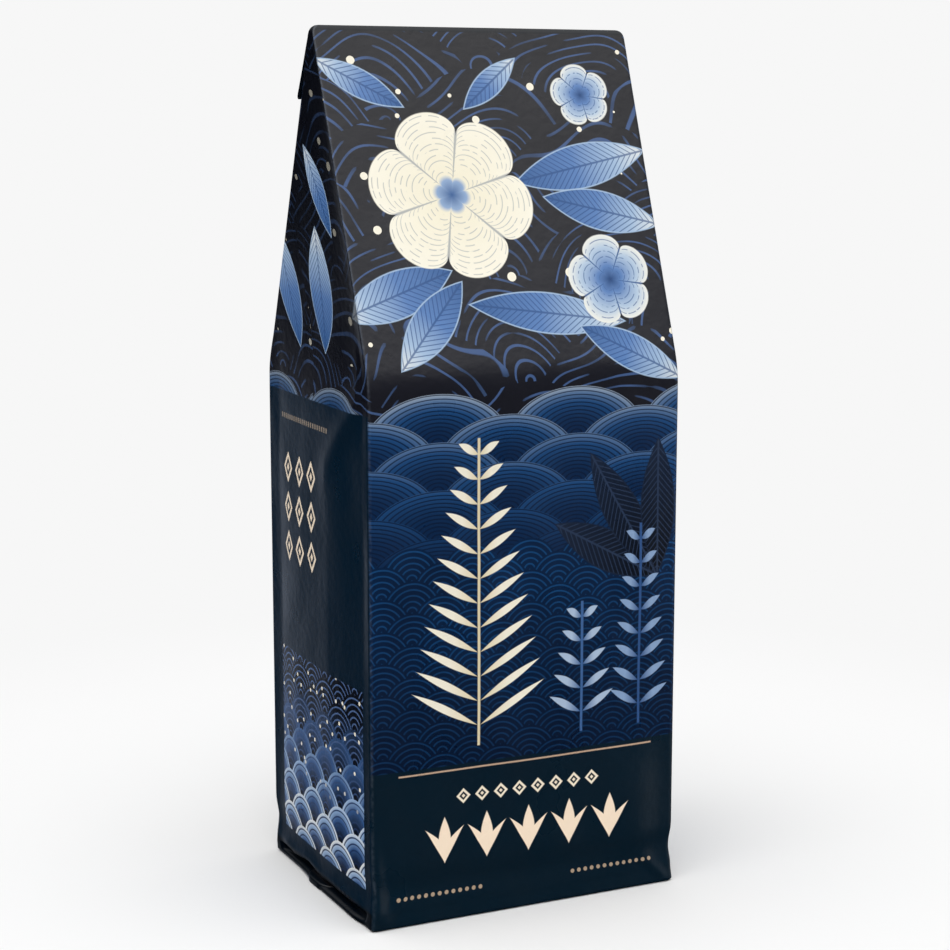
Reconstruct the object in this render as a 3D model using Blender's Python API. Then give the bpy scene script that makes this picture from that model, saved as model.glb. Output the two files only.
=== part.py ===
"""A filled and shut side-gusset coffee bag.

It stands on its folded base, and its flattened top is folded over to the back. X runs across the
front panel, Y from the front panel to the back one, and Z up from the base.
"""

from math import atan2, cos, pi, sin, sqrt

import bmesh
import bpy

# Sizes of the whole bag, in metres
WIDTH = 0.0856
DEPTH = 0.0678
RIDGE_WIDTH = 0.0876
RIDGE_Z = 0.221
RIDGE_THICKNESS = 0.002
SHOULDER_Z = 0.136
SHOULDER_ROUNDING = 0.004
EDGE_RADIUS = 0.0014

# How far the beans push the panels out, and how far the waist above the base draws in
FRONT_BULGE = 0.0008
GUSSET_BULGE = 0.0007
WAIST_Z = 0.009
WAIST_REACH = 0.007
WAIST_DRAW = 0.0005

# The side gusset: a bent strip along each edge, diagonal creases below the shoulder and a dish above
STRIP_WIDTH = 0.0055
CREASE_DROP = 0.022
CREASE_REACH = 0.012
DISH_DEPTH = 0.0014
TUCK_DEPTH = 0.0024

# The base: a rounded foot, and the dark fold where the gusset film tucks in above it
FOOT_RADIUS = 0.0012
FOLD_LOW = 0.0016
FOLD_HIGH = 0.0046
FOLD_LIP = 0.0005
FOLD_DEPTH = 0.0026
FOLD_LENGTH = 0.052

# The base seal lies flat towards the back, between two shallow hollows of the base
SEAL_FRONT = -0.002
SEAL_BACK = 0.0105
HOLLOW_DEPTH = 0.0008
HOLLOW_WIDTH = 0.072
HOLLOW_REACH = 0.027

# The flap of the folded top, which springs away from the back panel
FLAP_LENGTH = 0.0184
FLAP_THICKNESS = 0.0014
FLAP_LEAN = 0.53
FLAP_WIDTH = 0.0874

# How finely a section is divided
PANEL_STEPS = 12
GUSSET_STEPS = 12
CORNER_STEPS = 2


def smooth_step(value):
    """Runs from 0 to 1 with level ends."""
    held = min(max(value, 0.0), 1.0)
    return held * held * (3 - 2 * held)


def rounded_ramp(value, rounding):
    """Zero below, the value itself above, and a round bend between."""
    if value <= -rounding:
        return 0.0
    if value >= rounding:
        return value
    return (value + rounding) ** 2 / (4 * rounding)


def between(low, high, count):
    """Evenly spaced heights from low to high, without the last."""
    return [low + (high - low) * step / count for step in range(count)]


def half_depth(z):
    """From the middle of the bag to the front edge of a gusset."""
    slope = (DEPTH - RIDGE_THICKNESS) / 2 / (RIDGE_Z - SHOULDER_Z)
    straight = DEPTH / 2 - slope * rounded_ramp(z - SHOULDER_Z, SHOULDER_ROUNDING)
    return straight - waist(z) - foot_inset(z) - ridge_inset(z)


def half_width(z):
    """From the middle of the bag to an edge of the front panel."""
    spread = (RIDGE_WIDTH - WIDTH) / 2 * max(z - SHOULDER_Z, 0.0) / (RIDGE_Z - SHOULDER_Z)
    return WIDTH / 2 + spread - waist(z) - foot_inset(z) - ridge_inset(z)


def waist(z):
    """The film draws in just above the base corners."""
    return WAIST_DRAW * (1 - smooth_step(abs(z - WAIST_Z) / WAIST_REACH))


def foot_inset(z):
    """The round edge where the panels turn under."""
    rise = max(FOOT_RADIUS - z, 0.0)
    return FOOT_RADIUS - sqrt(FOOT_RADIUS**2 - rise**2)


def ridge_inset(z):
    """The round fold at the very top."""
    radius = RIDGE_THICKNESS * 0.45
    rise = max(z - RIDGE_Z + radius, 0.0)
    return (radius - sqrt(radius**2 - rise**2)) * 0.8


def panel_relief(z, across):
    """How far the front or back panel stands out; across runs from -1 to 1."""
    filled = smooth_step(z / 0.02) * (1 - smooth_step((z - SHOULDER_Z) / 0.06))
    return FRONT_BULGE * filled * (1 - across**2)


def gusset_relief(z, along):
    """How far a gusset stands out; along runs from -1 at the front to 1 at the back."""
    half = half_depth(z)
    inwards = half * (1 - abs(along))
    middle = 1 - along**2
    crease_z = SHOULDER_Z - CREASE_DROP * (1 - abs(along))
    above = smooth_step((z - crease_z) / CREASE_REACH)
    upwards = max(z - SHOULDER_Z, 0.0) / (RIDGE_Z - SHOULDER_Z)
    tucked = DISH_DEPTH + (TUCK_DEPTH - DISH_DEPTH) * upwards
    narrow = min(half / 0.006, 1.0)
    relief = GUSSET_BULGE * (1 - above) * smooth_step(inwards / STRIP_WIDTH) * smooth_step(z / 0.02)
    relief -= tucked * above * middle * narrow
    return relief - base_fold(z, along)


def base_fold(z, along):
    """The dark fold above the foot, deepest in the middle of the gusset."""
    opening = smooth_step((z - FOLD_LOW) / FOLD_LIP) * smooth_step((FOLD_HIGH - z) / FOLD_LIP)
    reach = abs(along) * half_depth(z) / (FOLD_LENGTH / 2)
    return FOLD_DEPTH * opening * sqrt(max(1 - min(reach, 1.0) ** 2, 0.0))


def section_points(z):
    """One level section of the bag, counter-clockwise from the left end of the front panel."""
    wide = half_width(z)
    deep = half_depth(z)
    radius = min(EDGE_RADIUS, deep * 0.6)
    points = []
    for side in (-1, 1):
        for step in range(PANEL_STEPS + 1):
            across = -1 + 2 * step / PANEL_STEPS
            x = across * (wide - radius)
            y = deep + panel_relief(z, across)
            points.append((-side * x, side * y))
        points += corner_points(-side * (wide - radius), side * (deep - radius), radius, side * pi / 2)
        for step in range(GUSSET_STEPS + 1):
            along = -1 + 2 * step / GUSSET_STEPS
            x = wide + gusset_relief(z, along)
            y = along * (deep - radius)
            points.append((-side * x, -side * y))
        turned = 0.0 if side < 0 else pi
        points += corner_points(-side * (wide - radius), -side * (deep - radius), radius, turned)
    return [(x, y, z) for x, y in points]


def corner_points(x, y, radius, start):
    """The inner points of a quarter round about (x, y), turning on from start."""
    turns = [start + pi / 2 * step / CORNER_STEPS for step in range(1, CORNER_STEPS)]
    return [(x + radius * cos(turn), y + radius * sin(turn)) for turn in turns]


def section_heights():
    """Close together at the base fold, the shoulder and the ridge, and wide apart between."""
    foot = between(0.0, FOOT_RADIUS, 3) + [FOOT_RADIUS, FOLD_LOW, FOLD_LOW + FOLD_LIP]
    fold = [FOLD_HIGH - FOLD_LIP, FOLD_HIGH]
    waist_rows = between(FOLD_HIGH + 0.0015, WAIST_Z + WAIST_REACH, 4)
    body = between(WAIST_Z + WAIST_REACH, SHOULDER_Z - CREASE_DROP, 9)
    shoulder = between(SHOULDER_Z - CREASE_DROP, SHOULDER_Z + 2 * SHOULDER_ROUNDING, 11)
    wedge = between(SHOULDER_Z + 2 * SHOULDER_ROUNDING, RIDGE_Z - 0.002, 10)
    ridge = [RIDGE_Z - 0.002, RIDGE_Z - 0.0009, RIDGE_Z - 0.0004, RIDGE_Z]
    return foot + fold + waist_rows + body + shoulder + wedge + ridge


def loft(mesh, sections):
    """Joins each section to the next and closes both ends."""
    rings = [[mesh.verts.new(point) for point in section] for section in sections]
    count = len(rings[0])
    for lower, upper in zip(rings, rings[1:]):
        for here in range(count):
            after = (here + 1) % count
            mesh.faces.new((lower[here], lower[after], upper[after], upper[here]))
    mesh.faces.new(reversed(rings[0]))
    mesh.faces.new(rings[-1])


def finished_object(name, mesh, collection):
    """Turns the faces outwards and puts the shape in its collection."""
    bmesh.ops.recalc_face_normals(mesh, faces=mesh.faces)
    data = bpy.data.meshes.new(name)
    mesh.to_mesh(data)
    mesh.free()
    item = bpy.data.objects.new(name, data)
    collection.objects.link(item)
    return item


def film_material():
    """Satin printed packing film, dark blue all over in this plain model."""
    material = bpy.data.materials.new("printed_film")
    material.use_nodes = True
    shader = material.node_tree.nodes["Principled BSDF"]
    shader.inputs["Base Color"].default_value = (0.012, 0.028, 0.062, 1)
    shader.inputs["Roughness"].default_value = 0.42
    shader.inputs["Metallic"].default_value = 0.0
    return material


def bag_body(collection):
    """The filled body up to the ridge."""
    mesh = bmesh.new()
    loft(mesh, [section_points(z) for z in section_heights()])
    return finished_object("bag", mesh, collection)


def flap_outline():
    """The flap's profile from the ridge down its outer face and back up its inner one."""
    angle = atan2(1, FLAP_LEAN)
    down = (cos(angle), -sin(angle))
    out = (sin(angle), cos(angle))
    top = (RIDGE_THICKNESS / 2, RIDGE_Z - 0.0006)
    half = FLAP_THICKNESS / 2
    outline = [(0.0, RIDGE_Z - 0.0003), top]
    middle = [value + FLAP_LENGTH * way - half * side for value, way, side in zip(top, down, out)]
    for step in range(5):
        turn = pi * step / 4
        reach = [half * (sin(turn) * way + cos(turn) * side) for way, side in zip(down, out)]
        outline.append((middle[0] + reach[0], middle[1] + reach[1]))
    return outline + [(0.0, RIDGE_Z - 0.0035)]


def folded_flap(collection):
    """The folded top hangs behind the back panel, a little narrower than the ridge."""
    mesh = bmesh.new()
    ends = [mesh.verts.new((-FLAP_WIDTH / 2, y, z)) for y, z in flap_outline()]
    face = mesh.faces.new(ends)
    pulled = bmesh.ops.extrude_face_region(mesh, geom=[face])["geom"]
    moved = [item for item in pulled if isinstance(item, bmesh.types.BMVert)]
    bmesh.ops.translate(mesh, verts=moved, vec=(FLAP_WIDTH, 0, 0))
    return finished_object("flap_guide", mesh, collection)


def base_hollow(name, near, far, collection):
    """A shallow hollow in the base beside the seal, which keeps the foot and the seal level."""
    mesh = bmesh.new()
    bmesh.ops.create_cube(mesh, size=1)
    bmesh.ops.scale(mesh, verts=mesh.verts, vec=(HOLLOW_WIDTH, far - near, 2 * HOLLOW_DEPTH))
    bmesh.ops.translate(mesh, verts=mesh.verts, vec=(0, (near + far) / 2, 0))
    return finished_object(name, mesh, collection)


def add_boolean(item, guide, operation):
    """Joins or cuts with a guide shape that doesn't count as a piece."""
    guide.hide_render = True
    guide.display_type = "WIRE"
    modifier = item.modifiers.new(guide.name, "BOOLEAN")
    modifier.operation = operation
    modifier.object = guide


def new_collection(name):
    collection = bpy.data.collections.new(name)
    bpy.context.scene.collection.children.link(collection)
    return collection


def build():
    for item in list(bpy.data.objects):
        bpy.data.objects.remove(item)
    parts = new_collection("coffee_bag")
    guides = new_collection("guides")
    bag = bag_body(parts)
    bag.data.materials.append(film_material())
    add_boolean(bag, folded_flap(guides), "UNION")
    add_boolean(bag, base_hollow("front_hollow", -HOLLOW_REACH, SEAL_FRONT, guides), "DIFFERENCE")
    add_boolean(bag, base_hollow("back_hollow", SEAL_BACK, HOLLOW_REACH, guides), "DIFFERENCE")


build()
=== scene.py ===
"""A printed side-gusset coffee bag, filled and folded shut, on a pale studio floor.

Lengths are millimetres of the real bag, and a piece is brought to metres as it is finished.
"""

from math import cos, exp, hypot, pi, radians, sin, sqrt

import bmesh
import bpy
from mathutils import Euler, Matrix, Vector, noise


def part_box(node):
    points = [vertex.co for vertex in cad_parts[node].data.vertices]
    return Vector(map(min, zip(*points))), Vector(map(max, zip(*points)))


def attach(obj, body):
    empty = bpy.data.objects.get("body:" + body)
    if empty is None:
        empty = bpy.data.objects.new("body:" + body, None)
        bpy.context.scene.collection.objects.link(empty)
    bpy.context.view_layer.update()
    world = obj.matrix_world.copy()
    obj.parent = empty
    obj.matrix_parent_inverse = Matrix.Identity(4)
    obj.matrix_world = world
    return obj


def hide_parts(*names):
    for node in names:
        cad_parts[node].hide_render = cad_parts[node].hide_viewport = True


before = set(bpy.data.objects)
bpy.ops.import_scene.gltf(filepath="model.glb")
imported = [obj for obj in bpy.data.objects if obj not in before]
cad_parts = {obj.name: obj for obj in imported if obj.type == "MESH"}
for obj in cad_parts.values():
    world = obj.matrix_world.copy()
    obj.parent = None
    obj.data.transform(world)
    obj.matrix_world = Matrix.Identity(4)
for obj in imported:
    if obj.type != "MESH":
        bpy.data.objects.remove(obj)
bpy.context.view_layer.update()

# The camera stands a little to the left of the front and looks slightly down, as in the photograph.
# It is a plain pinhole view: the bag's own edges gave its distance and its lens.
LENS = 81.2
SENSOR = 36
LOOKS_DOWN = radians(9.65)
STANDS_LEFT = radians(25.6)
CAMERA_DISTANCE = 0.5585
AIM = (0, 0, 0.1149)
FRAMING = (0.00137, -0.0083, 0)
camera_data = bpy.data.cameras.new("camera")
camera_data.lens = LENS
camera_data.sensor_width = SENSOR
camera = bpy.data.objects.new("camera", camera_data)
camera.rotation_euler = Euler((pi / 2 - LOOKS_DOWN, 0, -STANDS_LEFT))
camera_turn = camera.rotation_euler.to_matrix()
aim = Vector(AIM) + camera_turn @ Vector(FRAMING)
camera.location = aim + camera_turn @ Vector((0, 0, CAMERA_DISTANCE))
bpy.context.scene.collection.objects.link(camera)
bpy.context.scene.camera = camera
bpy.context.scene.view_settings.view_transform = "Standard"


# The studio: a pale matt floor that runs out into an even pale backdrop on all sides.
# The backdrop is only for the eye. The light comes from the sky round the set, as from large soft boxes.
FLOOR_RADIUS = 6000
BACKDROP_RADIUS = 6100
FLOOR_DROP = 0.05
PALE = (0.93, 0.93, 0.93, 1)
PAPER = (0.845, 0.845, 0.845, 1)


def ink(code):
    """The linear colour of an sRGB hex value."""
    parts = [int(code[place : place + 2], 16) / 255 for place in (1, 3, 5)]
    linear = [part / 12.92 if part <= 0.04045 else ((part + 0.055) / 1.055) ** 2.4 for part in parts]
    return (*linear, 1.0)


def put(tree, kind, *values, stops=(), **settings):
    """Adds a node with its settings, and fills its sockets in their order with values or other nodes."""
    node = tree.nodes.new("ShaderNode" + kind)
    for name, setting in settings.items():
        setattr(node, name, setting)
    for place, (position, code) in enumerate(stops):
        fresh = node.color_ramp.elements if place < 2 else None
        element = fresh[place] if fresh else node.color_ramp.elements.new(position)
        element.position = position
        element.color = ink(code)
    sockets = [socket for socket in node.inputs if socket.enabled]
    for socket, value in zip(sockets, values):
        if isinstance(value, bpy.types.Node):
            value = next(output for output in value.outputs if output.enabled)
        if isinstance(value, bpy.types.NodeSocket):
            tree.links.new(value, socket)
        elif value is not None:
            socket.default_value = value
    return node


def finished(name, mesh, material):
    """Brings a shape from millimetres to metres and makes it an object with smooth faces."""
    bmesh.ops.scale(mesh, vec=(0.001, 0.001, 0.001), verts=mesh.verts)
    for face in mesh.faces:
        face.smooth = True
    data = bpy.data.meshes.new(name)
    mesh.to_mesh(data)
    mesh.free()
    data.materials.append(material)
    piece = bpy.data.objects.new(name, data)
    bpy.context.scene.collection.objects.link(piece)
    return piece


# Studio paper: matt and nearly white, fading into the backdrop away from the bag
paper = bpy.data.materials.new("matt_studio_paper")
paper.use_nodes = True
tree = paper.node_tree
tree.nodes.clear()
from_bag = put(tree, "VectorMath", put(tree, "TexCoord").outputs["Object"], operation="LENGTH")
fade = put(tree, "MapRange", from_bag, 0.05, 0.32, interpolation_type="SMOOTHSTEP")
lit_paper = put(tree, "BsdfDiffuse", PAPER)
put(tree, "OutputMaterial", put(tree, "MixShader", fade, lit_paper, put(tree, "Emission", PALE, 1.0)))
mesh = bmesh.new()
bmesh.ops.create_circle(mesh, cap_ends=True, segments=96, radius=FLOOR_RADIUS)
bmesh.ops.translate(mesh, vec=(0, 0, -FLOOR_DROP), verts=mesh.verts)
floor = finished("studio_floor", mesh, paper)
floor.visible_glossy = False

# The backdrop's own even glow
glow = bpy.data.materials.new("even_backdrop")
glow.use_nodes = True
tree = glow.node_tree
tree.nodes.clear()
put(tree, "OutputMaterial", put(tree, "Emission", PALE, 1.0))
mesh = bmesh.new()
bmesh.ops.create_uvsphere(mesh, u_segments=64, v_segments=32, radius=BACKDROP_RADIUS)
backdrop = finished("studio_backdrop", mesh, glow)
backdrop.visible_diffuse = False
backdrop.visible_glossy = False
backdrop.visible_shadow = False

# The sky of soft boxes: bright overhead and strongest from the front left, with a low cool light behind the
# bag, which the left gusset mirrors, and a low light at the right, which the front's curved edges mirror
KEY_FROM = (-0.45, -0.75, 0.48)
REAR_FROM = (0.015, 0.98, -0.2)
SIDE_FROM = (0.86, -0.51, -0.05)
WHITE = (1, 1, 1, 1)
COOL = (0.75, 0.95, 1.4, 1)
sky = bpy.data.worlds.new("soft_box_sky")
bpy.context.scene.world = sky
sky.use_nodes = True
tree = sky.node_tree
tree.nodes.clear()
toward = put(tree, "TexCoord").outputs["Generated"]
height = put(tree, "SeparateXYZ", toward).outputs[2]
overhead = put(tree, "MapRange", height, 0.29, 0.72, 0.0, 1.0, interpolation_type="SMOOTHSTEP")
key = put(tree, "VectorMath", toward, KEY_FROM, operation="DOT_PRODUCT")
key = put(tree, "MapRange", key, -0.4, 0.95, 0.6, 2.42, interpolation_type="SMOOTHSTEP")
key = put(tree, "Math", overhead, key, operation="MULTIPLY")
rear = put(tree, "VectorMath", toward, REAR_FROM, operation="DOT_PRODUCT")
rear = put(tree, "MapRange", rear, 0.92, 0.99, 0.0, 0.46, interpolation_type="SMOOTHSTEP")
below_horizon = put(tree, "MapRange", height, 0.04, -0.2, 0.0, 1.0, interpolation_type="SMOOTHSTEP")
rear = put(tree, "Math", rear, below_horizon, operation="MULTIPLY")
beside = put(tree, "VectorMath", toward, SIDE_FROM, operation="DOT_PRODUCT")
beside = put(tree, "MapRange", beside, 0.88, 0.99, 0.0, 0.5, interpolation_type="SMOOTHSTEP")
brightness = put(tree, "Math", key, put(tree, "Math", rear, beside, operation="ADD"), operation="ADD")
tint = put(tree, "Mix", rear, WHITE, COOL, data_type="RGBA")
put(tree, "OutputWorld", put(tree, "Background", tint, brightness))


# The bag: one printed web of satin laminated film, folded round into a tube with two side gussets and
# lap sealed down the middle of the back. The coffee fills it square below the shoulder, and above the
# shoulder it is drawn in to a flat ridge, where the sealed top is folded over to the back.
FRONT = 86.0
GUSSET = 68.0
WEB = 2 * (FRONT + GUSSET)
FRONT_FOLD = FRONT / 2
BACK_FOLD = FRONT / 2 + GUSSET
SHOULDER = 136.0
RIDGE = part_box("bag")[1].z * 1000
WEDGE = RIDGE - SHOULDER
WEDGE_STRETCH = 1.0694
WEB_HEIGHT = SHOULDER + WEDGE * WEDGE_STRETCH
HALF_WIDTH = 42.8
HALF_DEPTH = 33.9
HALF_RIDGE = 1.0
RIDGE_SPREAD = 1.0
SHOULDER_ROUND = 4
EDGE_RADIUS = 1.05
CORNER_RADIUS = 2.3
RIDGE_RADIUS = 0.9
FOOT_RADIUS = 0.9
FOOT_FLARE = 0.3
WAIST_DRAWN = 0.5
WAIST_UP = 10
BROAD_SWELL = 0.30
SMALL_SWELL = 0.09
PANEL_BULGE = 0.7
CORNER_CREASE = 0.40
PINCH = 0.95
FLARE = 0.95
TOE_ROUND = 0.45


def ease(value):
    """Runs from 0 to 1 with level ends."""
    held = min(max(value, 0.0), 1.0)
    return held * held * (3 - 2 * held)


def hump(distance, width):
    """A soft round hump, 1 at its top."""
    return exp(-((distance / width) ** 2))


def round_off(past, radius):
    """How far a quarter round has drawn in, so far past its start."""
    return radius - sqrt(max(radius**2 - past**2, 0))


def risen(z):
    """How far up the wedge a point is, from 0 at the shoulder to 1 at the ridge."""
    return max(z - SHOULDER, 0) / WEDGE


def half_depth(z):
    """From the middle of the bag to the front edge of a gusset."""
    rise = z - SHOULDER
    bent = (max(rise + SHOULDER_ROUND, 0) ** 2) / (4 * SHOULDER_ROUND) if rise < SHOULDER_ROUND else rise
    ridge = 0.8 * round_off(max(z - RIDGE + RIDGE_RADIUS, 0), RIDGE_RADIUS)
    return HALF_DEPTH - (HALF_DEPTH - HALF_RIDGE) / WEDGE * bent - waist(z) - ridge


def half_width(z):
    """From the middle of the bag to an edge of the front panel, whose top corners are rounded."""
    corner = max(z - RIDGE + CORNER_RADIUS, 0)
    return HALF_WIDTH + RIDGE_SPREAD * risen(z) - waist(z) - round_off(corner, CORNER_RADIUS)


def waist(z):
    """The film draws in just above the base, and its foot turns under with a small round edge."""
    drawn_in = WAIST_DRAWN * (1 - ease(abs(z - WAIST_UP) / 6))
    flare = FOOT_FLARE * (1 - ease(z / 4.5))
    return drawn_in - flare + round_off(max(FOOT_RADIUS - z, 0), FOOT_RADIUS)


def along_crease(x, z, start, end, width):
    """A soft ridge along a line between two points of a panel, which fades out at both ends."""
    run = (end[0] - start[0], end[1] - start[1])
    length = hypot(*run)
    along = ((x - start[0]) * run[0] + (z - start[1]) * run[1]) / length
    aside = ((x - start[0]) * run[1] - (z - start[1]) * run[0]) / length
    ends = ease(along / length / 0.3 + 0.3) * ease((length - along) / length / 0.3 + 0.3)
    return hump(aside, width) * ends


def crumple(x, z, seed):
    """Gentle unevenness of the filled film, in broad swells and small ones."""
    broad = noise.noise(Vector((x / 24, z / 30, seed)))
    small = noise.noise(Vector((x / 9, z / 11, seed + 7)))
    return BROAD_SWELL * broad + SMALL_SWELL * small


def panel_relief(x, z, across, seed):
    """How far the front or back panel stands out over its whole face and at its base corners."""
    filled = ease(z / 20) * (1 - ease((z - SHOULDER) / 60))
    near_edge = 1 - across**2
    relief = PANEL_BULGE * filled * near_edge
    relief += crumple(x, z, seed) * min(near_edge * 3, 1) * (0.35 + 0.65 * filled) * ease(z / 8)
    corner_crease = CORNER_CREASE * along_crease(abs(x), z, (33.0, 9.0), (41.0, 0.9), 1.3)
    if x > 0:
        return relief + corner_crease + pinched_corner(x, z)
    return relief + 0.8 * corner_crease + flared_corner(-x, z)


def pinched_corner(aside, z):
    """The film swells beside a base corner that is pinched in."""
    swell = ease((aside - 16) / 14) * (1 - ease((aside - 31) / 8.5))
    return PINCH * swell * ease((z - 4) / 9) * (1 - ease((z - 24) / 22))


def flared_corner(aside, z):
    """The film stands out in a low cone along the fold, and the cone widens towards the base corner."""
    low_down = 1 - ease((z - 4) / 24)
    reach = 1.5 + 3 * low_down
    cone = ease((aside - 41.6 + reach) / reach) * ease((HALF_WIDTH - aside) / 1.2)
    return FLARE * low_down * ease(z / 5) * cone


# The gusset's own sizes: its flat strips, the height of its forms and the dark fold of the base
FRONT_STRIP = 4.2
BACK_STRIP = 7.6
CROWN_HEIGHT = 1.3
FRONT_LIP = 0.05
BACK_LIP = 0.22
SLANTED_CREASE = 0.42
HOLLOW_DEPTH = 0.3
FOLD_DEPTH = 3.0
FOLD_HALF = 30
SEAL_SWELL = 0.8
CURL = 0.32


def gusset_crown(y, z, half):
    """The filled gusset between its strips, with a crown that slants to the front corner of the shoulder."""
    front_strip = -half + FRONT_STRIP
    back_strip = half - BACK_STRIP
    crown = max(-34 + 25 * ease((139 - z) / 27), front_strip + 0.5)
    if y < crown:
        climb = min(max((y - front_strip) / (crown - front_strip), 0), 1)
        return 1 - (1 - climb) ** 1.5
    fall = min((y - crown) / (back_strip - crown), 1)
    return 1 - 0.5 * fall - 0.5 * fall**5


def gusset_relief(y, z, half, seed):
    """How far a gusset stands out: swelled by the coffee below the shoulder, and dished above it."""
    inwards = half - abs(y)
    above = ease((z - 124) / 26)
    below = (1 - above) * ease(z / 20)
    relief = CROWN_HEIGHT * gusset_crown(y, z, half) * below * ease(inwards / 3)
    from_front = half + y
    front_lip = exp(-max(from_front, 0) / 2.2) * ease(from_front / 0.7)
    relief += FRONT_LIP * front_lip * ease(z / 20) * (1 - ease((z - 130) / 14))
    from_back = half - y
    relief += BACK_LIP * exp(-max(from_back, 0) / 3) * ease(from_back / 0.7) * below
    relief += SLANTED_CREASE * along_crease(y, z, (-35, 139), (-5, 109), 3.8) * ease(inwards / 3)
    relief -= HOLLOW_DEPTH * hump(y + 23, 6) * hump(z - 104, 22) * below
    across = (y / half + 1) / 2
    relief -= (0.7 + 0.5 * risen(z)) * above * sin(pi * sqrt(across)) * min(half / 6, 1)
    relief += crumple(y, z, seed) * ease(inwards / 5.5) * (1 - 0.5 * above) * ease(z / 8)
    return relief + folded_base(y, z) - toe(y, z)


def fold_lip(y):
    """The wavy lower edge of the gusset film, above the dark fold of the base."""
    return 3.7 + 0.55 * cos((y - 9) / 3.1) * hump(y - 6, 16) + 0.3 * sin(y / 7.5)


def folded_base(y, z):
    """The deep fold under the curled lower edge of the gusset film, and the foot pushed out by the seal."""
    opening = ease((z - 1.4) / 0.4) * ease((fold_lip(y) - z) / 0.5 + 0.5)
    slot = FOLD_DEPTH * opening * sqrt(max(1 - (y / FOLD_HALF) ** 2, 0))
    foot = SEAL_SWELL * (1 - ease((z - 1.2) / 0.6)) * ease((y + 30) / 8) * (1 - ease((y - 4) / 8))
    curl = CURL * hump(z - fold_lip(y) - 1.2, 1.3) * ease((FOLD_HALF - abs(y)) / 6)
    return foot + curl - slot


def toe(y, z):
    """The back corners of the base are rubbed round."""
    return TOE_ROUND * (1 - ease(z / 3.5)) * ease((y - 9) / 9)


def rounded(from_edge, radius):
    """How far along a panel a point lies, and how far it sinks, where the panel turns into a round edge."""
    if from_edge >= radius:
        return from_edge, 0.0
    turn = pi / 4 * (1 - from_edge / radius)
    return radius * (1 - sin(turn)), radius * (1 - cos(turn))


# The wedge leans a little to the right, its back edges are drawn in, and the lap seam stands off the back
LEAN = 0.4
BACK_DRAWN = 0.8
SEAM_HALF = 5.2
SEAM_THICK = 0.35
RELIEF_SEEDS = {"front": 3, "back": 11, "gusset": 40}


def on_bag(web_x, z):
    """Where a point of the flat web lies on the filled bag."""
    side = 1 if web_x > WEB / 2 else -1
    from_middle = abs(web_x - WEB / 2)
    half = half_depth(z)
    wide = half_width(z)
    radius = min(EDGE_RADIUS, half * 0.6)
    lean = LEAN * risen(z)
    drawn = 1 - BACK_DRAWN / half * ease((z - 132) / 12) * (1 - ease((z - 205) / 12))
    if FRONT_FOLD < from_middle < BACK_FOLD:
        way = (from_middle - FRONT_FOLD) / GUSSET
        end = -1 if way < 0.5 else 1
        along, sunk = rounded(min(way, 1 - way) * 2 * half, radius)
        y = end * (half - along)
        x = wide - sunk + gusset_relief(y, z, half, RELIEF_SEEDS["gusset"] * side)
        return Vector((side * x + lean, y * drawn if y > 0 else y, z))
    front = from_middle <= FRONT_FOLD
    across = from_middle / FRONT_FOLD if front else (WEB / 2 - from_middle) / FRONT_FOLD
    along, sunk = rounded((1 - across) * wide, radius)
    x = side * (wide - along)
    y = half - sunk + panel_relief(x, z, across, RELIEF_SEEDS["front" if front else "back"])
    if front:
        return Vector((x + lean, -y, z))
    y += SEAM_THICK * ease((SEAM_HALF - abs(x)) / 0.8) * ease((RIDGE - z) / 20)
    return Vector((x * (1 - toe(34, z) / wide * across**8) + lean, y * drawn, z))


def graded(span, fine, coarse):
    """Places across a panel, close together at both folds and further apart in the middle."""
    places = [0.0]
    step = fine
    while places[-1] < span / 2:
        places.append(places[-1] + step)
        step = min(step * 1.15, coarse)
    places = [place * span / 2 / places[-1] for place in places]
    return places + [span - place for place in reversed(places[:-1])]


def web_columns():
    """Where the web is divided across, from the back seam right round to the back seam."""
    panel = graded(FRONT, 0.3, 1.15)
    gusset = graded(GUSSET, 0.3, 0.95)
    middle = len(panel) // 2
    columns = [place - FRONT / 2 for place in panel[middle:]]
    for start, places in ((FRONT / 2, gusset), (FRONT / 2 + GUSSET, panel), (WEB / 2 + FRONT / 2, gusset)):
        columns += [start + place for place in places[1:]]
    return columns + [WEB - FRONT / 2 + place for place in panel[1 : middle + 1]]


def web_rows():
    """Where the web is divided upwards: close at the base, the shoulder and the ridge."""
    rows = []
    for low, high, count in ((0, 6, 22), (6, 20, 14), (20, 100, 60), (100, 150, 54), (150, 215, 50)):
        rows += [low + (high - low) * step / count for step in range(count)]
    return rows + [215 + (RIDGE - 215) * (1 - (1 - step / 12) ** 1.6) for step in range(13)]


columns = web_columns()
rows = web_rows()
mesh = bmesh.new()
bmesh.ops.create_grid(mesh, x_segments=len(columns) - 1, y_segments=len(rows) - 1, size=0.5)
for vertex in mesh.verts:
    column = columns[round((vertex.co.x + 0.5) * (len(columns) - 1))]
    row = rows[round((vertex.co.y + 0.5) * (len(rows) - 1))]
    vertex.co = (column, row, 0)

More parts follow.
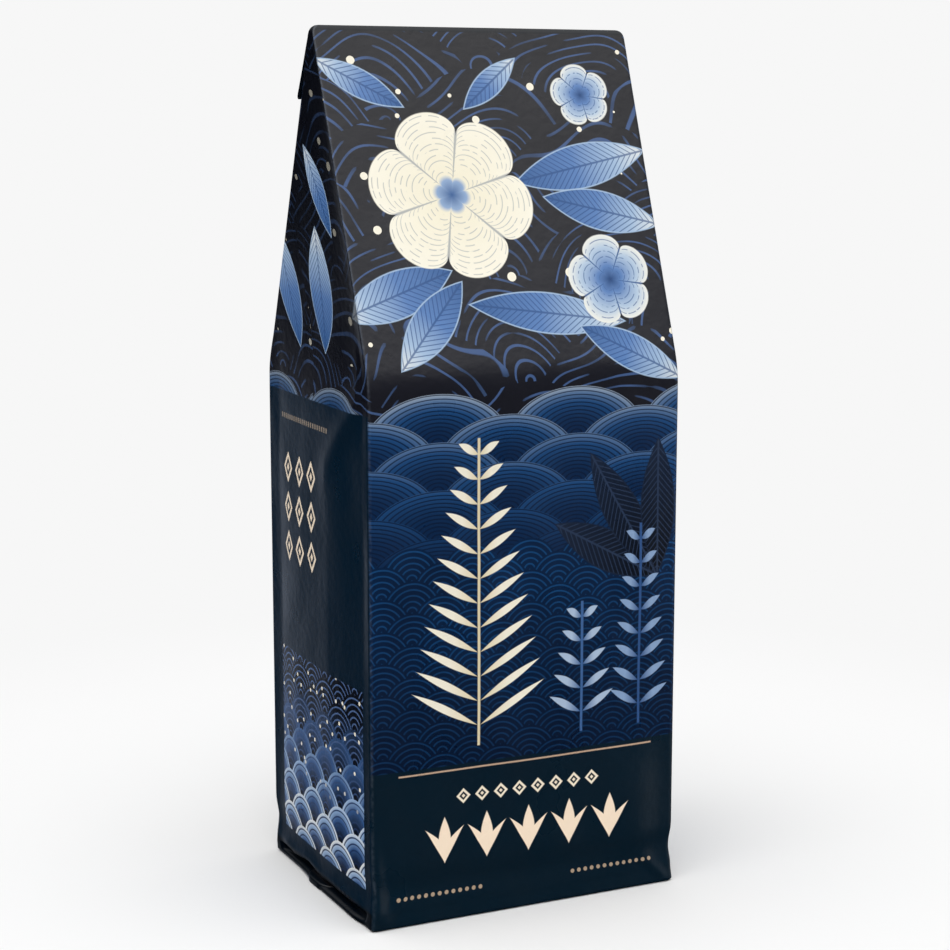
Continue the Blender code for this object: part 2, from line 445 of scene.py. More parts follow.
# The flat web is the print's own map, so the print runs round the folds as it does on the real film.
# Where a gusset narrows, its print keeps the scale that it has in the square part of the bag.
SQUARE_PART = 100
web_map = mesh.loops.layers.uv.new("OFBake")
for face in mesh.faces:
    middle = face.calc_center_median().x - WEB / 2
    gusset = FRONT_FOLD < abs(middle) < BACK_FOLD
    for loop in face.loops:
        x, z, _ = loop.vert.co
        up = min(z, SHOULDER) + max(z - SHOULDER, 0) * WEDGE_STRETCH
        if gusset:
            side = 1 if middle > 0 else -1
            narrowed = half_depth(z) / half_depth(SQUARE_PART)
            x = WEB / 2 + side * (FRONT_FOLD + (abs(x - WEB / 2) - FRONT_FOLD) * narrowed)
        loop[web_map].uv = (x / WEB, up / WEB_HEIGHT)
for vertex in mesh.verts:
    vertex.co = on_bag(vertex.co.x, vertex.co.y)
bmesh.ops.remove_doubles(mesh, verts=mesh.verts, dist=0.0001)

# The ends: the base turns under and is drawn up a little, and the ridge is shut
BASE_SHARE = (0.90, 0.88, 1)
BASE_RAISED = 0.8
edges = [edge for edge in mesh.edges if edge.is_boundary and edge.verts[0].co.z < 1]
under = bmesh.ops.extrude_edge_only(mesh, edges=edges)["geom"]
under = [item for item in under if isinstance(item, bmesh.types.BMVert)]
bmesh.ops.scale(mesh, vec=BASE_SHARE, verts=under)
bmesh.ops.translate(mesh, vec=(0, 0, BASE_RAISED), verts=under)
bmesh.ops.holes_fill(mesh, edges=[edge for edge in mesh.edges if edge.is_boundary], sides=0)
bmesh.ops.recalc_face_normals(mesh, faces=mesh.faces)


def engraved(tree, position, pitch, weight):
    """Fine printed lines, one to each pitch of a position in millimetres."""
    wave = put(tree, "Math", position, pitch / 2, operation="PINGPONG")
    edge = weight * pitch / 2
    return put(tree, "MapRange", wave, edge + 0.08, edge - 0.08, interpolation_type="SMOOTHSTEP")


def scales(tree, across, up, radius, last_row):
    """Overlapping round scales, a traditional pattern: 0 in the middle of a scale, 1 on its rim."""
    steps = put(tree, "Math", up, radius / 2, operation="DIVIDE")
    lower = put(tree, "Math", steps, operation="FLOOR")
    seen = None
    for offset in (1, 0, -1):
        row = put(tree, "Math", lower, float(offset), operation="ADD")
        odd = put(tree, "Math", row, 2.0, 0.0, operation="FLOORED_MODULO")
        shifted = put(tree, "Math", odd, float(radius), across, operation="MULTIPLY_ADD")
        aside = put(tree, "Math", shifted, float(radius), operation="PINGPONG")
        rise = put(tree, "Math", steps, row, operation="SUBTRACT")
        rise = put(tree, "Math", rise, radius / 2, operation="MULTIPLY")
        reach = put(tree, "VectorMath", put(tree, "CombineXYZ", aside, rise), operation="LENGTH")
        reach = put(tree, "Math", reach, float(radius), operation="DIVIDE")
        hidden = put(tree, "Math", row, last_row + 0.5, operation="GREATER_THAN")
        reach = put(tree, "Math", hidden, 10.0, reach, operation="MULTIPLY_ADD")
        if seen is None:
            seen = reach
        else:
            inside = put(tree, "Math", reach, 1.0, operation="LESS_THAN")
            seen = put(tree, "Mix", inside, seen, reach)
    return seen


def band(tree, position, low, high, soft=0.12):
    """1 between two places and 0 outside, with edges as sharp as the press prints them."""
    start = put(tree, "MapRange", position, low - soft, low + soft)
    end = put(tree, "MapRange", position, high + soft, high - soft)
    return put(tree, "Math", start, end, operation="MULTIPLY")


def leaf(tree, web, picture, place, turn, length, width, inks, line):
    """A pointed leaf with a midrib, slanting veins and a light rim, printed over the picture."""
    own = put(tree, "Mapping", web, (*place, 0), (0, 0, radians(turn)), (length / 2, width / 2, 1),
              vector_type="TEXTURE")
    own_parts = put(tree, "SeparateXYZ", own)
    along = own_parts.outputs[0]
    side = put(tree, "Math", own_parts.outputs[1], operation="ABSOLUTE")
    swell = put(tree, "Math", along, along, operation="MULTIPLY")
    swell = put(tree, "Math", 1.0, swell, operation="SUBTRACT")
    inside = put(tree, "Math", swell, side, operation="SUBTRACT")
    shape = put(tree, "MapRange", inside, 0.0, 0.5 / width)
    slant = put(tree, "Math", side, width * 0.55, operation="MULTIPLY")
    slant = put(tree, "Math", along, length / 2, slant, operation="MULTIPLY_ADD")
    veins = engraved(tree, slant, 1.7, 0.22)
    midrib = put(tree, "MapRange", side, 0.7 / width, 0.3 / width)
    lines = put(tree, "Math", veins, midrib, operation="MAXIMUM")
    lines = put(tree, "Math", lines, 0.75, operation="MULTIPLY")
    colour = put(tree, "ValToRGB", put(tree, "MapRange", along, -1.0, 1.0), stops=inks)
    colour = put(tree, "Mix", lines, colour, ink(line), data_type="RGBA")
    rim = put(tree, "MapRange", inside, 1.1 / width, 0.7 / width)
    colour = put(tree, "Mix", rim, colour, ink(inks[-1][1]), data_type="RGBA")
    return put(tree, "Mix", shape, picture, colour, data_type="RGBA")


def blossom(tree, web, picture, place, radius, petals, inks, line):
    """A round open blossom with notched petals and fine broken rings, printed over the picture."""
    own = put(tree, "Mapping", web, (*place, 0), (0, 0, radians(place[0])), (radius, radius, 1),
              vector_type="TEXTURE")
    own_parts = put(tree, "SeparateXYZ", own)
    reach = put(tree, "VectorMath", own, operation="LENGTH")
    angle = put(tree, "Math", own_parts.outputs[1], own_parts.outputs[0], operation="ARCTAN2")
    lobe = put(tree, "Math", angle, petals / 2, operation="MULTIPLY")
    lobe = put(tree, "Math", put(tree, "Math", lobe, operation="COSINE"), operation="ABSOLUTE")
    rim = put(tree, "Math", lobe, 0.4, operation="POWER")
    rim = put(tree, "Math", rim, 0.30, 0.70, operation="MULTIPLY_ADD")
    share = put(tree, "Math", reach, rim, operation="DIVIDE")
    shape = put(tree, "MapRange", share, 1.0, 1.0 - 0.3 / radius)
    colour = put(tree, "ValToRGB", share, stops=inks)
    rings = engraved(tree, put(tree, "Math", share, float(radius), operation="MULTIPLY"), 1.5, 0.17)
    broken = put(tree, "TexNoise", own, 9.0, 0.0, noise_dimensions="2D")
    broken = put(tree, "MapRange", broken, 0.42, 0.46, 0.0, 0.75)
    rings = put(tree, "Math", rings, broken, operation="MULTIPLY")
    cleft = put(tree, "MapRange", lobe, 0.10, 0.03)
    lines = put(tree, "Math", rings, cleft, operation="MAXIMUM")
    beyond_centre = put(tree, "MapRange", share, 0.22, 0.28)
    lines = put(tree, "Math", lines, beyond_centre, operation="MULTIPLY")
    colour = put(tree, "Mix", lines, colour, ink(line), data_type="RGBA")
    return put(tree, "Mix", shape, picture, colour, data_type="RGBA")


def broken_arcs(tree, web, picture, across, up):
    """Concentric arcs in a muted blue over the charcoal field, in strokes that taper as if drawn by hand."""
    pitch = 3.2
    radius = 27.0
    reach = scales(tree, across, up, radius, 99)
    wander = put(tree, "TexNoise", web, 0.04, 0.0, noise_dimensions="2D")
    wander = put(tree, "Math", wander, 16.0, operation="MULTIPLY")
    position = put(tree, "Math", reach, radius, wander, operation="MULTIPLY_ADD")
    ring = put(tree, "Math", put(tree, "Math", position, pitch, operation="DIVIDE"), operation="ROUND")
    stroke = put(tree, "CombineXYZ", across, up, put(tree, "Math", ring, 47.0, operation="MULTIPLY"))
    stroke = put(tree, "TexNoise", stroke, 0.10, 0.0)
    half_line = put(tree, "MapRange", stroke, 0.38, 0.42, 0.0, 0.36)
    wave = put(tree, "Math", position, pitch / 2, operation="PINGPONG")
    lines = put(tree, "Math", half_line, wave, operation="SUBTRACT")
    lines = put(tree, "MapRange", lines, -0.02, 0.12)
    shade = put(tree, "ValToRGB", stroke, stops=((0.4, "#2b3c59"), (0.62, "#405985")))
    return put(tree, "Mix", lines, picture, shade, data_type="RGBA")


# Laminated film: a printed polyester skin over foil and polyethylene. The eye sees flat rich inks under an
# even satin sheen, which fine creases and a very slight orange peel break up.
film = bpy.data.materials.new("satin_laminated_film")
film.use_nodes = True
tree = film.node_tree
shader = tree.nodes["Principled BSDF"]
web = put(tree, "UVMap", uv_map="OFBake")
web = put(tree, "VectorMath", web, (WEB, WEB_HEIGHT, 0), operation="MULTIPLY")
web = put(tree, "VectorMath", web, (WEB / 2, 0, 0), operation="SUBTRACT")
web_parts = put(tree, "SeparateXYZ", web)
up = web_parts.outputs[1]
from_middle = put(tree, "Math", web_parts.outputs[0], operation="ABSOLUTE")
across = put(tree, "Math", web_parts.outputs[0], WEB / 4, -WEB / 4, operation="WRAP")
aside = put(tree, "Math", across, operation="ABSOLUTE")
panel = put(tree, "CombineXYZ", across, up, 0.0)

# The charcoal field of the upper panels, with its broken arcs and scattered small seeds. Its near-black print
# is lightened with painted sheen, a little more towards the top
CHARCOAL_AND_SHEEN = ((0.0, "#181922"), (1.0, "#1b1b20"))
FIELD_FOOT = 140.0
SEED_CREAM = "#f7f1de"
SEED_PITCH = 16
SEED_SIZE = 0.078
picture = put(tree, "ValToRGB", put(tree, "MapRange", up, 130.0, 227.0), stops=CHARCOAL_AND_SHEEN)
picture = broken_arcs(tree, panel, picture, across, up)
seeds = put(tree, "TexVoronoi", panel, 1 / SEED_PITCH, voronoi_dimensions="2D")
seed_size = put(tree, "SeparateXYZ", seeds.outputs["Color"])
seed_size = put(tree, "Math", seed_size, SEED_SIZE, operation="MULTIPLY")
seed = put(tree, "Math", seeds.outputs["Distance"], seed_size, operation="LESS_THAN")
on_field = put(tree, "Math", up, FIELD_FOOT, operation="GREATER_THAN")
seed = put(tree, "Math", seed, on_field, operation="MULTIPLY")
picture = put(tree, "Mix", seed, picture, ink(SEED_CREAM), data_type="RGBA")

# Wide layered scales in blues under the field, lighter towards their rims and towards the top
WIDE_RADIUS = 19
WIDE_FOOT = 92.0
WIDE_FLAT = 0.62
WIDE_INKS = ((0.0, "#02244a"), (1.0, "#a8b5c2"), (0.35, "#164679"), (0.65, "#56749b"))
lowered = put(tree, "Math", up, WIDE_FOOT, operation="SUBTRACT")
lowered = put(tree, "Math", lowered, WIDE_FLAT, operation="DIVIDE")
wide_scales = scales(tree, put(tree, "Math", across, 6.0, operation="ADD"), lowered, WIDE_RADIUS, 5)
wide_shape = put(tree, "Math", wide_scales, 1.0, operation="LESS_THAN")
wide_tone = put(tree, "Math", wide_scales, 2.2, operation="POWER")
wide_tone = put(tree, "Math", wide_tone, put(tree, "MapRange", up, 90.0, 136.0), operation="MULTIPLY")
wide_ink = put(tree, "ValToRGB", wide_tone, stops=WIDE_INKS)
wide_lines = put(tree, "Math", wide_scales, float(WIDE_RADIUS), operation="MULTIPLY")
wide_lines = put(tree, "Math", engraved(tree, wide_lines, 1.55, 0.3), 0.8, operation="MULTIPLY")
wide_ink = put(tree, "Mix", wide_lines, wide_ink, ink("#04152f"), data_type="RGBA")
picture = put(tree, "Mix", wide_shape, picture, wide_ink, data_type="RGBA")

# Small deep-blue scales below them, down to the plain band
SMALL_RADIUS = 8
SMALL_INKS = ((0.0, "#001430"), (0.6, "#00264c"))
SMALL_LINE_INKS = ((0.0, "#022b51"), (0.5, "#084579"))
small_scales = scales(tree, across, up, SMALL_RADIUS, 22)
small_shape = put(tree, "Math", small_scales, 1.0, operation="LESS_THAN")
patchy = put(tree, "TexNoise", panel, 0.05, 2.0, noise_dimensions="2D")
lift = put(tree, "MapRange", up, 38.0, WIDE_FOOT, 0.0, 0.75)
lift = put(tree, "Math", lift, patchy, operation="MULTIPLY")
small_ink = put(tree, "ValToRGB", lift, stops=SMALL_INKS)
small_line_ink = put(tree, "ValToRGB", lift, stops=SMALL_LINE_INKS)
small_lines = put(tree, "Math", small_scales, float(SMALL_RADIUS), operation="MULTIPLY")
small_lines = engraved(tree, small_lines, 1.45, 0.28)
small_ink = put(tree, "Mix", small_lines, small_ink, small_line_ink, data_type="RGBA")
picture = put(tree, "Mix", small_shape, picture, small_ink, data_type="RGBA")

# Three dark leaves at the right: the turn and the length of each
DARK_FOOT = (37, 83)
DARK_LEAVES = ((152, 34), (121, 39), (90, 36))
DARK_INKS = ((0.0, "#030813"), (1.0, "#16243b"))
for turn, length in DARK_LEAVES:
    direction = (cos(radians(turn)), sin(radians(turn)))
    place = [foot + length / 2 * part for foot, part in zip(DARK_FOOT, direction)]
    picture = leaf(tree, panel, picture, place, turn, length, 10.5, DARK_INKS, "#2c3d5a")

# Upright sprigs: the stem's place, the first and last leaf, the widths at foot and tip, and the inks
LEAF_STEP = 6.2
SPRIGS = (
    (-14, 7, 19, 19, 5, "#e2d3ae", "#f6efdb"),
    (15, 7, 12, 10, 4, "#3c6399", "#a9bdd6"),
    (32, 7, 15, 9, 4, "#2d5288", "#86a1c6"),
)
for stem_x, first, last, foot_width, tip_width, root_ink, tip_ink in SPRIGS:
    foot, tip = LEAF_STEP * (first + 0.5), LEAF_STEP * (last + 0.5)
    off_stem = put(tree, "Math", across, float(stem_x), operation="SUBTRACT")
    off_stem = put(tree, "Math", off_stem, operation="ABSOLUTE")
    climb = put(tree, "Math", off_stem, -0.55, up, operation="MULTIPLY_ADD")
    beat = put(tree, "Math", climb, LEAF_STEP / 2, operation="PINGPONG")
    spread = put(tree, "MapRange", climb, foot, tip, float(foot_width), float(tip_width))
    share = put(tree, "Math", off_stem, spread, operation="DIVIDE")
    swell = put(tree, "Math", put(tree, "Math", share, pi, operation="MULTIPLY"), operation="SINE")
    blade = put(tree, "Math", put(tree, "Math", swell, 1.2, operation="MULTIPLY"), beat, operation="SUBTRACT")
    blade = put(tree, "MapRange", blade, 0.0, 0.18)
    blade = put(tree, "Math", blade, band(tree, share, -1.0, 1.0, 0.01), operation="MULTIPLY")
    blade = put(tree, "Math", blade, band(tree, climb, foot, tip), operation="MULTIPLY")
    stem = put(tree, "MapRange", off_stem, 0.45, 0.25)
    stem = put(tree, "Math", stem, band(tree, up, foot - 2.0, tip + 1.0), operation="MULTIPLY")
    sprig = put(tree, "Math", blade, stem, operation="MAXIMUM")
    sprig_ink = put(tree, "ValToRGB", share, stops=((0.05, root_ink), (0.5, tip_ink)))
    picture = put(tree, "Mix", sprig, picture, sprig_ink, data_type="RGBA")

# Blue leaves and open blossoms over the charcoal field: the place, turn, length and width of each leaf
LEAF_INKS = ((0.0, "#2f5a92"), (1.0, "#e8ebe6"), (0.45, "#5a80b8"), (0.75, "#a4bdd9"))
LEAF_LINE = "#234a80"
LEAVES = (
    ((24, 190), 12, 40, 12), ((28, 178), -14, 34, 11), ((-32, 158), 200, 34, 12), ((-24, 150), 228, 30, 11),
    ((8, 152), -8, 44, 11), ((30, 141), -28, 32, 10), ((-33, 212), 150, 26, 8), ((2, 212), 40, 22, 7),
)
CREAM_INKS = ((0.0, "#2f5a92"), (1.0, "#f8f3e2"), (0.18, "#8fa9cc"), (0.24, "#f3ecd4"))
PALE_BLUE_INKS = ((0.0, "#143f75"), (1.0, "#f1f0e6"), (0.3, "#5a80b8"), (0.7, "#b4c8dd"))
for place, turn, length, width in LEAVES:
    picture = leaf(tree, panel, picture, place, turn, length, width, LEAF_INKS, LEAF_LINE)
picture = blossom(tree, panel, picture, (-13, 183), 22, 6, CREAM_INKS, "#aeb0ae")
picture = blossom(tree, panel, picture, (27, 160), 12, 5, PALE_BLUE_INKS, "#2f5a92")
picture = blossom(tree, panel, picture, (27, 209), 8.5, 5, PALE_BLUE_INKS, "#2f5a92")

# The plain band above the base, with a thin rule and a row of lozenges
BAND_TOP = 40.3
RULE_HALF = 35.8
LOZENGE_UP = 32.0
LOZENGE_STEP = 5.2
band_shape = put(tree, "MapRange", up, BAND_TOP + 0.1, BAND_TOP - 0.1)
picture = put(tree, "Mix", band_shape, picture, ink("#031c2b"), data_type="RGBA")
rule = put(tree, "Math", band(tree, up, 38.8, 39.2), band(tree, aside, -1.0, RULE_HALF), operation="MULTIPLY")
picture = put(tree, "Mix", rule, picture, ink("#c9a98f"), data_type="RGBA")
off_lozenge = put(tree, "Math", across, LOZENGE_STEP / 2, operation="ADD")
off_lozenge = put(tree, "Math", off_lozenge, LOZENGE_STEP / 2, operation="PINGPONG")
rise = put(tree, "Math", put(tree, "Math", up, LOZENGE_UP, operation="SUBTRACT"), operation="ABSOLUTE")
lozenge = put(tree, "Math", off_lozenge, rise, operation="ADD")
lozenge_heart = put(tree, "MapRange", lozenge, 0.6, 0.4)
lozenge = put(tree, "Math", band(tree, lozenge, 1.15, 1.95), lozenge_heart, operation="MAXIMUM")
lozenge = put(tree, "Math", lozenge, band(tree, aside, -1.0, 4 * LOZENGE_STEP), operation="MULTIPLY")
picture = put(tree, "Mix", lozenge, picture, ink("#f7ead2"), data_type="RGBA")

# A row of sprouts, each a bud between two curved fronds
SPROUT_FOOT = 15.0
SPROUT_HALF = 5.85
BUD_HEIGHT = 12.4
FROND_HEIGHT = 9.6
off_sprout = put(tree, "Math", across, SPROUT_HALF, operation="PINGPONG")
from_foot = put(tree, "Math", up, SPROUT_FOOT, operation="SUBTRACT")
bud = put(tree, "MapRange", from_foot, 0.0, BUD_HEIGHT, 0.0, pi)
bud = put(tree, "Math", put(tree, "Math", bud, operation="SINE"), 1.75, operation="MULTIPLY")
bud = put(tree, "MapRange", put(tree, "Math", bud, off_sprout, operation="SUBTRACT"), 0.0, 0.2)
lean = put(tree, "Math", from_foot, from_foot, operation="MULTIPLY")
lean = put(tree, "Math", lean, 0.06, operation="MULTIPLY")
off_frond = put(tree, "Math", off_sprout, lean, operation="SUBTRACT")
off_frond = put(tree, "Math", off_frond, operation="ABSOLUTE")
frond = put(tree, "MapRange", from_foot, 0.0, FROND_HEIGHT, 0.0, pi)
frond = put(tree, "Math", put(tree, "Math", frond, operation="SINE"), 1.3, operation="MULTIPLY")
frond = put(tree, "MapRange", put(tree, "Math", frond, off_frond, operation="SUBTRACT"), 0.0, 0.2)
sprout = put(tree, "Math", bud, frond, operation="MAXIMUM")
sprout = put(tree, "Math", sprout, band(tree, aside, -1.0, 5 * SPROUT_HALF), operation="MULTIPLY")
sprout_rows = band(tree, up, SPROUT_FOOT, SPROUT_FOOT + BUD_HEIGHT)
sprout = put(tree, "Math", sprout, sprout_rows, operation="MULTIPLY")
picture = put(tree, "Mix", sprout, picture, ink("#ffe9cf"), data_type="RGBA")

# Two short rows of dots near the base
DOT_UP = 7.3
DOT_STEP = 1.9
off_dot = put(tree, "Math", across, DOT_STEP / 2, operation="PINGPONG")
off_row = put(tree, "Math", up, DOT_UP, operation="SUBTRACT")
dot = put(tree, "VectorMath", put(tree, "CombineXYZ", off_dot, off_row, 0.0), operation="LENGTH")
dot = put(tree, "MapRange", dot, 0.62, 0.46)
dot = put(tree, "Math", dot, band(tree, aside, 12.4, 36.8), operation="MULTIPLY")
picture = put(tree, "Mix", dot, picture, ink("#b39c84"), data_type="RGBA")

# The gussets: plain dark film below the shoulder, and above it the field, darkened upwards with painted shade
# where the gusset tucks in, under leaves each given by its place, its lean towards the front in degrees, its
# length and its width
GUSSET_FIELD = 128.9
GUSSET_LEAVES = ((58, 184, -20, 26, 9), (66, 158, 8, 34, 14))
from_fold = put(tree, "Math", from_middle, FRONT_FOLD, operation="SUBTRACT")
on_gusset = band(tree, from_fold, 0.3, GUSSET + 1.0, 0.3)
plain = put(tree, "MapRange", up, GUSSET_FIELD, GUSSET_FIELD - 0.4)
plain = put(tree, "Math", on_gusset, plain, operation="MULTIPLY")
picture = put(tree, "Mix", plain, picture, ink("#021b2d"), data_type="RGBA")
# Painted shade over the upper gusset's print, stronger towards the top
painted_tuck_shade = put(tree, "MapRange", up, GUSSET_FIELD, 150.0, 0.2, 0.72)
painted_tuck_shade = put(tree, "Math", on_gusset, painted_tuck_shade, operation="MULTIPLY")
over_field = put(tree, "Math", up, GUSSET_FIELD, operation="GREATER_THAN")
painted_tuck_shade = put(tree, "Math", painted_tuck_shade, over_field, operation="MULTIPLY")
picture = put(tree, "Mix", painted_tuck_shade, picture, ink("#01040e"), data_type="RGBA")
for side in (-1, 1):
    for leaf_x, leaf_up, leaf_lean, length, width in GUSSET_LEAVES:
        place = (side * leaf_x, leaf_up)
        turn = 90 + side * leaf_lean
        picture = leaf(tree, panel, picture, place, turn, length, width, LEAF_INKS, LEAF_LINE)

# A row of dashes and a block of small lozenges on the plain film
DASH_STEP = 1.6
TIER_STEP = 10.4
BEAD_STEP = 8.6
dash = put(tree, "Math", from_fold, DASH_STEP / 2, operation="PINGPONG")
dash = put(tree, "MapRange", dash, 0.52, 0.36)
dash = put(tree, "Math", dash, band(tree, up, 121.6, 122.9), operation="MULTIPLY")
dash = put(tree, "Math", dash, band(tree, from_fold, 23.2, 58.4), operation="MULTIPLY")
picture = put(tree, "Mix", dash, picture, ink("#8f8172"), data_type="RGBA")
tier = put(tree, "Math", up, 98.6, operation="SUBTRACT")
tier = put(tree, "Math", tier, TIER_STEP / 2, operation="PINGPONG")
bead = put(tree, "Math", from_fold, 1.0, operation="SUBTRACT")
bead = put(tree, "Math", bead, BEAD_STEP / 2, operation="PINGPONG")
small_lozenge = put(tree, "Math", tier, 0.75, bead, operation="MULTIPLY_ADD")
small_heart = put(tree, "MapRange", small_lozenge, 1.0, 0.8)
small_lozenge = put(tree, "Math", band(tree, small_lozenge, 2.0, 3.1), small_heart, operation="MAXIMUM")
block = band(tree, from_fold, 31.0, 58.0)
block = put(tree, "Math", block, band(tree, up, 82.5, 114.5), operation="MULTIPLY")
block = put(tree, "Math", block, put(tree, "Math", tier, 4.0, operation="LESS_THAN"), operation="MULTIPLY")
block = put(tree, "Math", block, on_gusset, operation="MULTIPLY")
small_lozenge = put(tree, "Math", small_lozenge, block, operation="MULTIPLY")
picture = put(tree, "Mix", small_lozenge, picture, ink("#f7e4cb"), data_type="RGBA")

# The printed panel low on the gusset: scales that lighten towards the base, with seeds over the dark ones
SIDE_RADIUS = 9
SIDE_INKS = ((0.0, "#060b18"), (1.0, "#eceeea"), (0.3, "#32588c"), (0.6, "#94b2d6"))
SIDE_LINE_INKS = ((0.0, "#4a6593"), (1.0, "#16305c"))
side_panel = band(tree, from_fold, 4.6, 60.6)
side_panel = put(tree, "Math", side_panel, band(tree, up, 9.4, 60.2), operation="MULTIPLY")
side_scales = scales(tree, from_fold, up, SIDE_RADIUS, 99)
side_depth = put(tree, "MapRange", up, 52.0, 18.0)
side_tone = put(tree, "Math", side_scales, 2.2, operation="POWER")
side_tone = put(tree, "Math", side_tone, side_depth, operation="MULTIPLY")
side_ink = put(tree, "ValToRGB", side_tone, stops=SIDE_INKS)
side_lines = put(tree, "Math", side_scales, float(SIDE_RADIUS), operation="MULTIPLY")
side_lines = engraved(tree, side_lines, 1.6, 0.26)
side_line_ink = put(tree, "ValToRGB", side_depth, stops=SIDE_LINE_INKS)
side_ink = put(tree, "Mix", side_lines, side_ink, side_line_ink, data_type="RGBA")
side_web = put(tree, "CombineXYZ", from_fold, up, 0.0)
side_seeds = put(tree, "TexVoronoi", side_web, 1 / 6, voronoi_dimensions="2D")
side_seed = put(tree, "Math", side_seeds.outputs["Distance"], 0.085, operation="LESS_THAN")
side_seed = put(tree, "Math", side_seed, put(tree, "MapRange", up, 26.0, 34.0), operation="MULTIPLY")
side_ink = put(tree, "Mix", side_seed, side_ink, ink("#f3ecd8"), data_type="RGBA")
picture = put(tree, "Mix", side_panel, picture, side_ink, data_type="RGBA")

# Painted shade: the print ends above the folded base in near black, for the shade of the fold, and a thin
# dark line of painted shade runs along the ridge
painted_foot_shade = put(tree, "Math", on_gusset, put(tree, "MapRange", up, 5.0, 4.2), operation="MULTIPLY")
painted_ridge_shade = put(tree, "MapRange", up, WEB_HEIGHT - 1.5, WEB_HEIGHT - 1.2)
painted_fold_shade = put(tree, "Math", painted_foot_shade, painted_ridge_shade, operation="MAXIMUM")
picture = put(tree, "Mix", painted_fold_shade, picture, ink("#020a14"), data_type="RGBA")

# Along the folds the ink is a little thin, where the film has been bent and rubbed, and above the shoulder a
# painted highlight on the folds' rounding is added to it
off_fold = put(tree, "Math", from_fold, GUSSET / 2, operation="SUBTRACT")
off_fold = put(tree, "Math", off_fold, operation="ABSOLUTE")
off_fold = put(tree, "Math", off_fold, GUSSET / 2, operation="SUBTRACT")
fold = put(tree, "MapRange", put(tree, "Math", off_fold, operation="ABSOLUTE"), 0.75, 0.1)
rub_and_fold_highlight = put(tree, "TexNoise", web, 0.8, 3.0, noise_dimensions="2D")
rub_and_fold_highlight = put(tree, "MapRange", rub_and_fold_highlight, 0.35, 0.7, 0.0, 0.1)
# Painted highlight: the folds lighten more above the shoulder
rub_and_fold_highlight = put(tree, "Math", rub_and_fold_highlight, put(tree, "MapRange", up, 132.0, 150.0, 0.0, 0.18), operation="ADD")
rub_and_fold_highlight = put(tree, "Math", fold, rub_and_fold_highlight, operation="MULTIPLY")
picture = put(tree, "Mix", rub_and_fold_highlight, picture, ink("#8d97a6"), data_type="RGBA")
tree.links.new(picture.outputs[2], shader.inputs["Base Color"])

# The satin sheen, uneven in patches of about 16 mm, over orange peel with a grain of about 2 mm
SATIN = 0.33
PEEL_GRAIN = 0.45
PEEL_STRENGTH = 0.35
PEEL_DEPTH = 0.0002
shader.inputs["Specular IOR Level"].default_value = SATIN
sheen = put(tree, "TexNoise", web, 0.06, 3.0, noise_dimensions="2D")
sheen = put(tree, "MapRange", sheen, 0.3, 0.7, 0.27, 0.34)
tree.links.new(sheen.outputs[0], shader.inputs["Roughness"])
peel = put(tree, "TexNoise", web, PEEL_GRAIN, 4.0, noise_dimensions="2D")
peel = put(tree, "Bump", PEEL_STRENGTH, PEEL_DEPTH, 1.0, peel)
tree.links.new(peel.outputs[0], shader.inputs["Normal"])
bag = finished("film_bag", mesh, film)
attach(bag, "root")
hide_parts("bag")


# The folded top: the sealed end of the same web, turned over to the back. Its outer film wraps round an
# inner layer, and it springs a little away from the back panel.
FLAP_DOWN = Vector((0, 0.468, -0.884))
FLAP_OUT = Vector((0, 0.884, 0.468))
FLAP_START = (0, 1.0, RIDGE - 0.6)
FLAP_LENGTH = 19.1
FLAP_HALF = 43.3
FLAP_THICK = 1.4
FILM_THICK = 0.36
SHARP = radians(50)


def flap_path(way, inset):
    """The flap's outer film seen from its end: down the outside, round the lower fold and back up inside."""
    radius = FLAP_THICK / 2 - inset
    straight = FLAP_LENGTH - FLAP_THICK / 2
    middle = Vector(FLAP_START) - FLAP_OUT * (FLAP_THICK / 2)
    if way <= straight:
        return middle + FLAP_DOWN * way + FLAP_OUT * radius
    turn = min((way - straight) / (FLAP_THICK / 2), pi)
    rest = way - straight - pi * FLAP_THICK / 2
    lowest = middle + FLAP_DOWN * (straight + radius * sin(turn)) + FLAP_OUT * (radius * cos(turn))
    return lowest - FLAP_DOWN * max(rest, 0)


# The same laminated film as the bag, with the arcs on charcoal lightened with painted sheen, and near black
# at its ends, as painted shade where the ends lie in shade
flap_film = bpy.data.materials.new("satin_film_of_the_folded_top")
flap_film.use_nodes = True
tree = flap_film.node_tree
shader = tree.nodes["Principled BSDF"]
lengths = put(tree, "TexCoord").outputs["Object"]
lengths = put(tree, "VectorMath", lengths, (1000, 1000, 1000), operation="MULTIPLY")
flap_parts = put(tree, "SeparateXYZ", lengths)
flat = put(tree, "CombineXYZ", flap_parts.outputs[0], flap_parts.outputs[2], 0.0)
field = broken_arcs(tree, flat, ink("#1b1b20"), flap_parts.outputs[0], flap_parts.outputs[2])
# Painted shade: the ends of the flap and of the base seal are near black
painted_end_shade = put(tree, "Math", flap_parts.outputs[0], operation="ABSOLUTE")
painted_end_shade = put(tree, "MapRange", painted_end_shade, FLAP_HALF - 1.2, FLAP_HALF - 0.9)
field = put(tree, "Mix", painted_end_shade, field, ink("#020a14"), data_type="RGBA")
tree.links.new(field.outputs[2], shader.inputs["Base Color"])
shader.inputs["Roughness"].default_value = 0.32
shader.inputs["Specular IOR Level"].default_value = SATIN
peel = put(tree, "TexNoise", lengths, PEEL_GRAIN, 4.0)
peel = put(tree, "Bump", PEEL_STRENGTH, PEEL_DEPTH, 1.0, peel)
tree.links.new(peel.outputs[0], shader.inputs["Normal"])

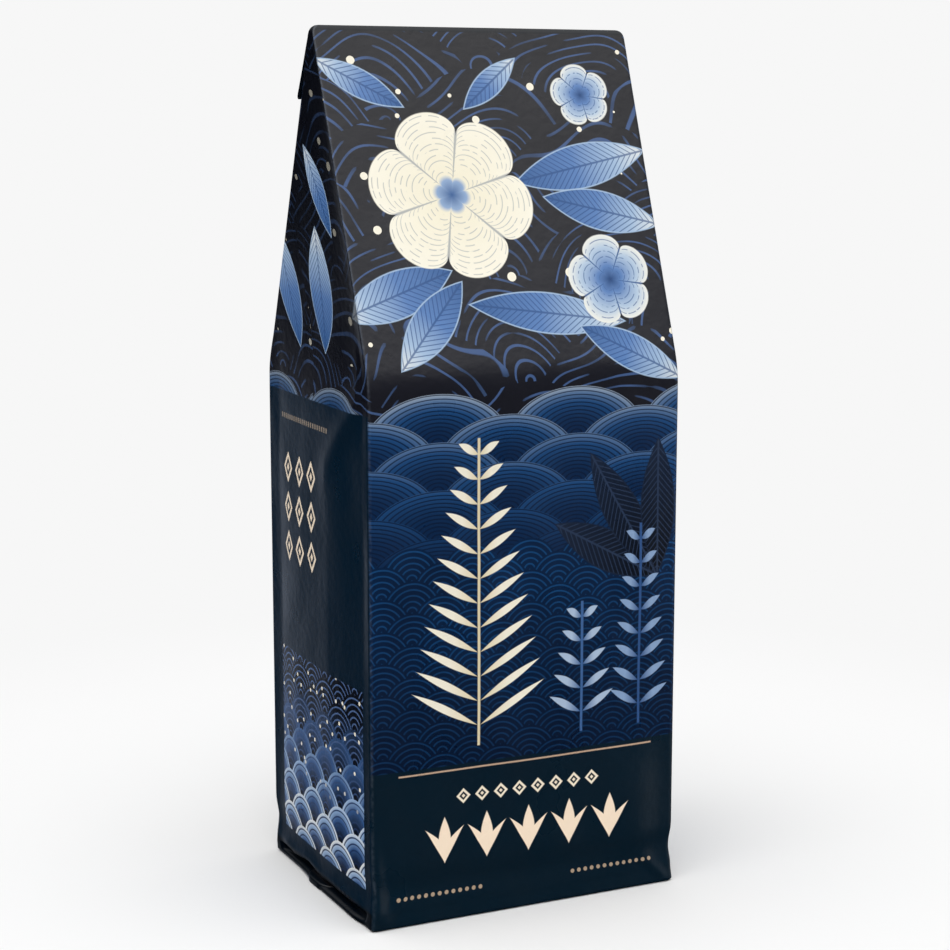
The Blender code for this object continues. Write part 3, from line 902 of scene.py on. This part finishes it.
# Each layer: how far it lies inside the outer film, how much narrower it is, and where it starts
for name, inset, short, start in (("folded_top_film", 0.0, 0.0, -0.6), ("folded_top_core", 0.42, 0.25, 1.2)):
    total = 2 * FLAP_LENGTH - 2.5 - start
    mesh = bmesh.new()
    bmesh.ops.create_grid(mesh, x_segments=90, y_segments=96, size=0.5)
    for vertex in mesh.verts:
        way = start + (vertex.co.y + 0.5) * total
        corner = round_off(max(CORNER_RADIUS - max(way, 0), 0), CORNER_RADIUS)
        x = vertex.co.x * 2 * (FLAP_HALF - short - corner)
        ripple = 0.12 * noise.noise(Vector((x / 16, way / 9, 5)))
        vertex.co = flap_path(way, inset) + FLAP_OUT * ripple + Vector((x + LEAN, 0, 0))
    bmesh.ops.recalc_face_normals(mesh, faces=mesh.faces)
    bmesh.ops.solidify(mesh, geom=mesh.faces[:], thickness=FILM_THICK)
    piece = finished(name, mesh, flap_film)
    piece.data.set_sharp_from_angle(angle=SHARP)
    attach(piece, "root")
    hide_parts("bag")


# The base seal: the tube's lower end, heat sealed flat, turned to the back and pressed under the bag.
# Its rounded end shows as a small lobe under the gusset.
SEAL = (88.0, 16.0, 1.9)
SEAL_BACK = 3.0
SEAL_CORNER = 5.5
SEAL_EDGE = 0.5
mesh = bmesh.new()
bmesh.ops.create_cube(mesh, size=1)
bmesh.ops.scale(mesh, vec=SEAL, verts=mesh.verts)
bmesh.ops.translate(mesh, vec=(0, SEAL_BACK, SEAL[2] / 2), verts=mesh.verts)
upright = [edge for edge in mesh.edges if abs(edge.verts[0].co.z - edge.verts[1].co.z) > 0.5]
bmesh.ops.bevel(mesh, geom=upright, offset=SEAL_CORNER, segments=8, affect="EDGES", profile=0.5, material=-1)
edges = mesh.edges[:]
bmesh.ops.bevel(mesh, geom=edges, offset=SEAL_EDGE, segments=3, affect="EDGES", profile=0.5, material=-1)
# The seal's ends take the flap film's painted shade
seal = finished("base_seal", mesh, flap_film)
seal.data.set_sharp_from_angle(angle=SHARP)
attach(seal, "root")
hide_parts("bag")
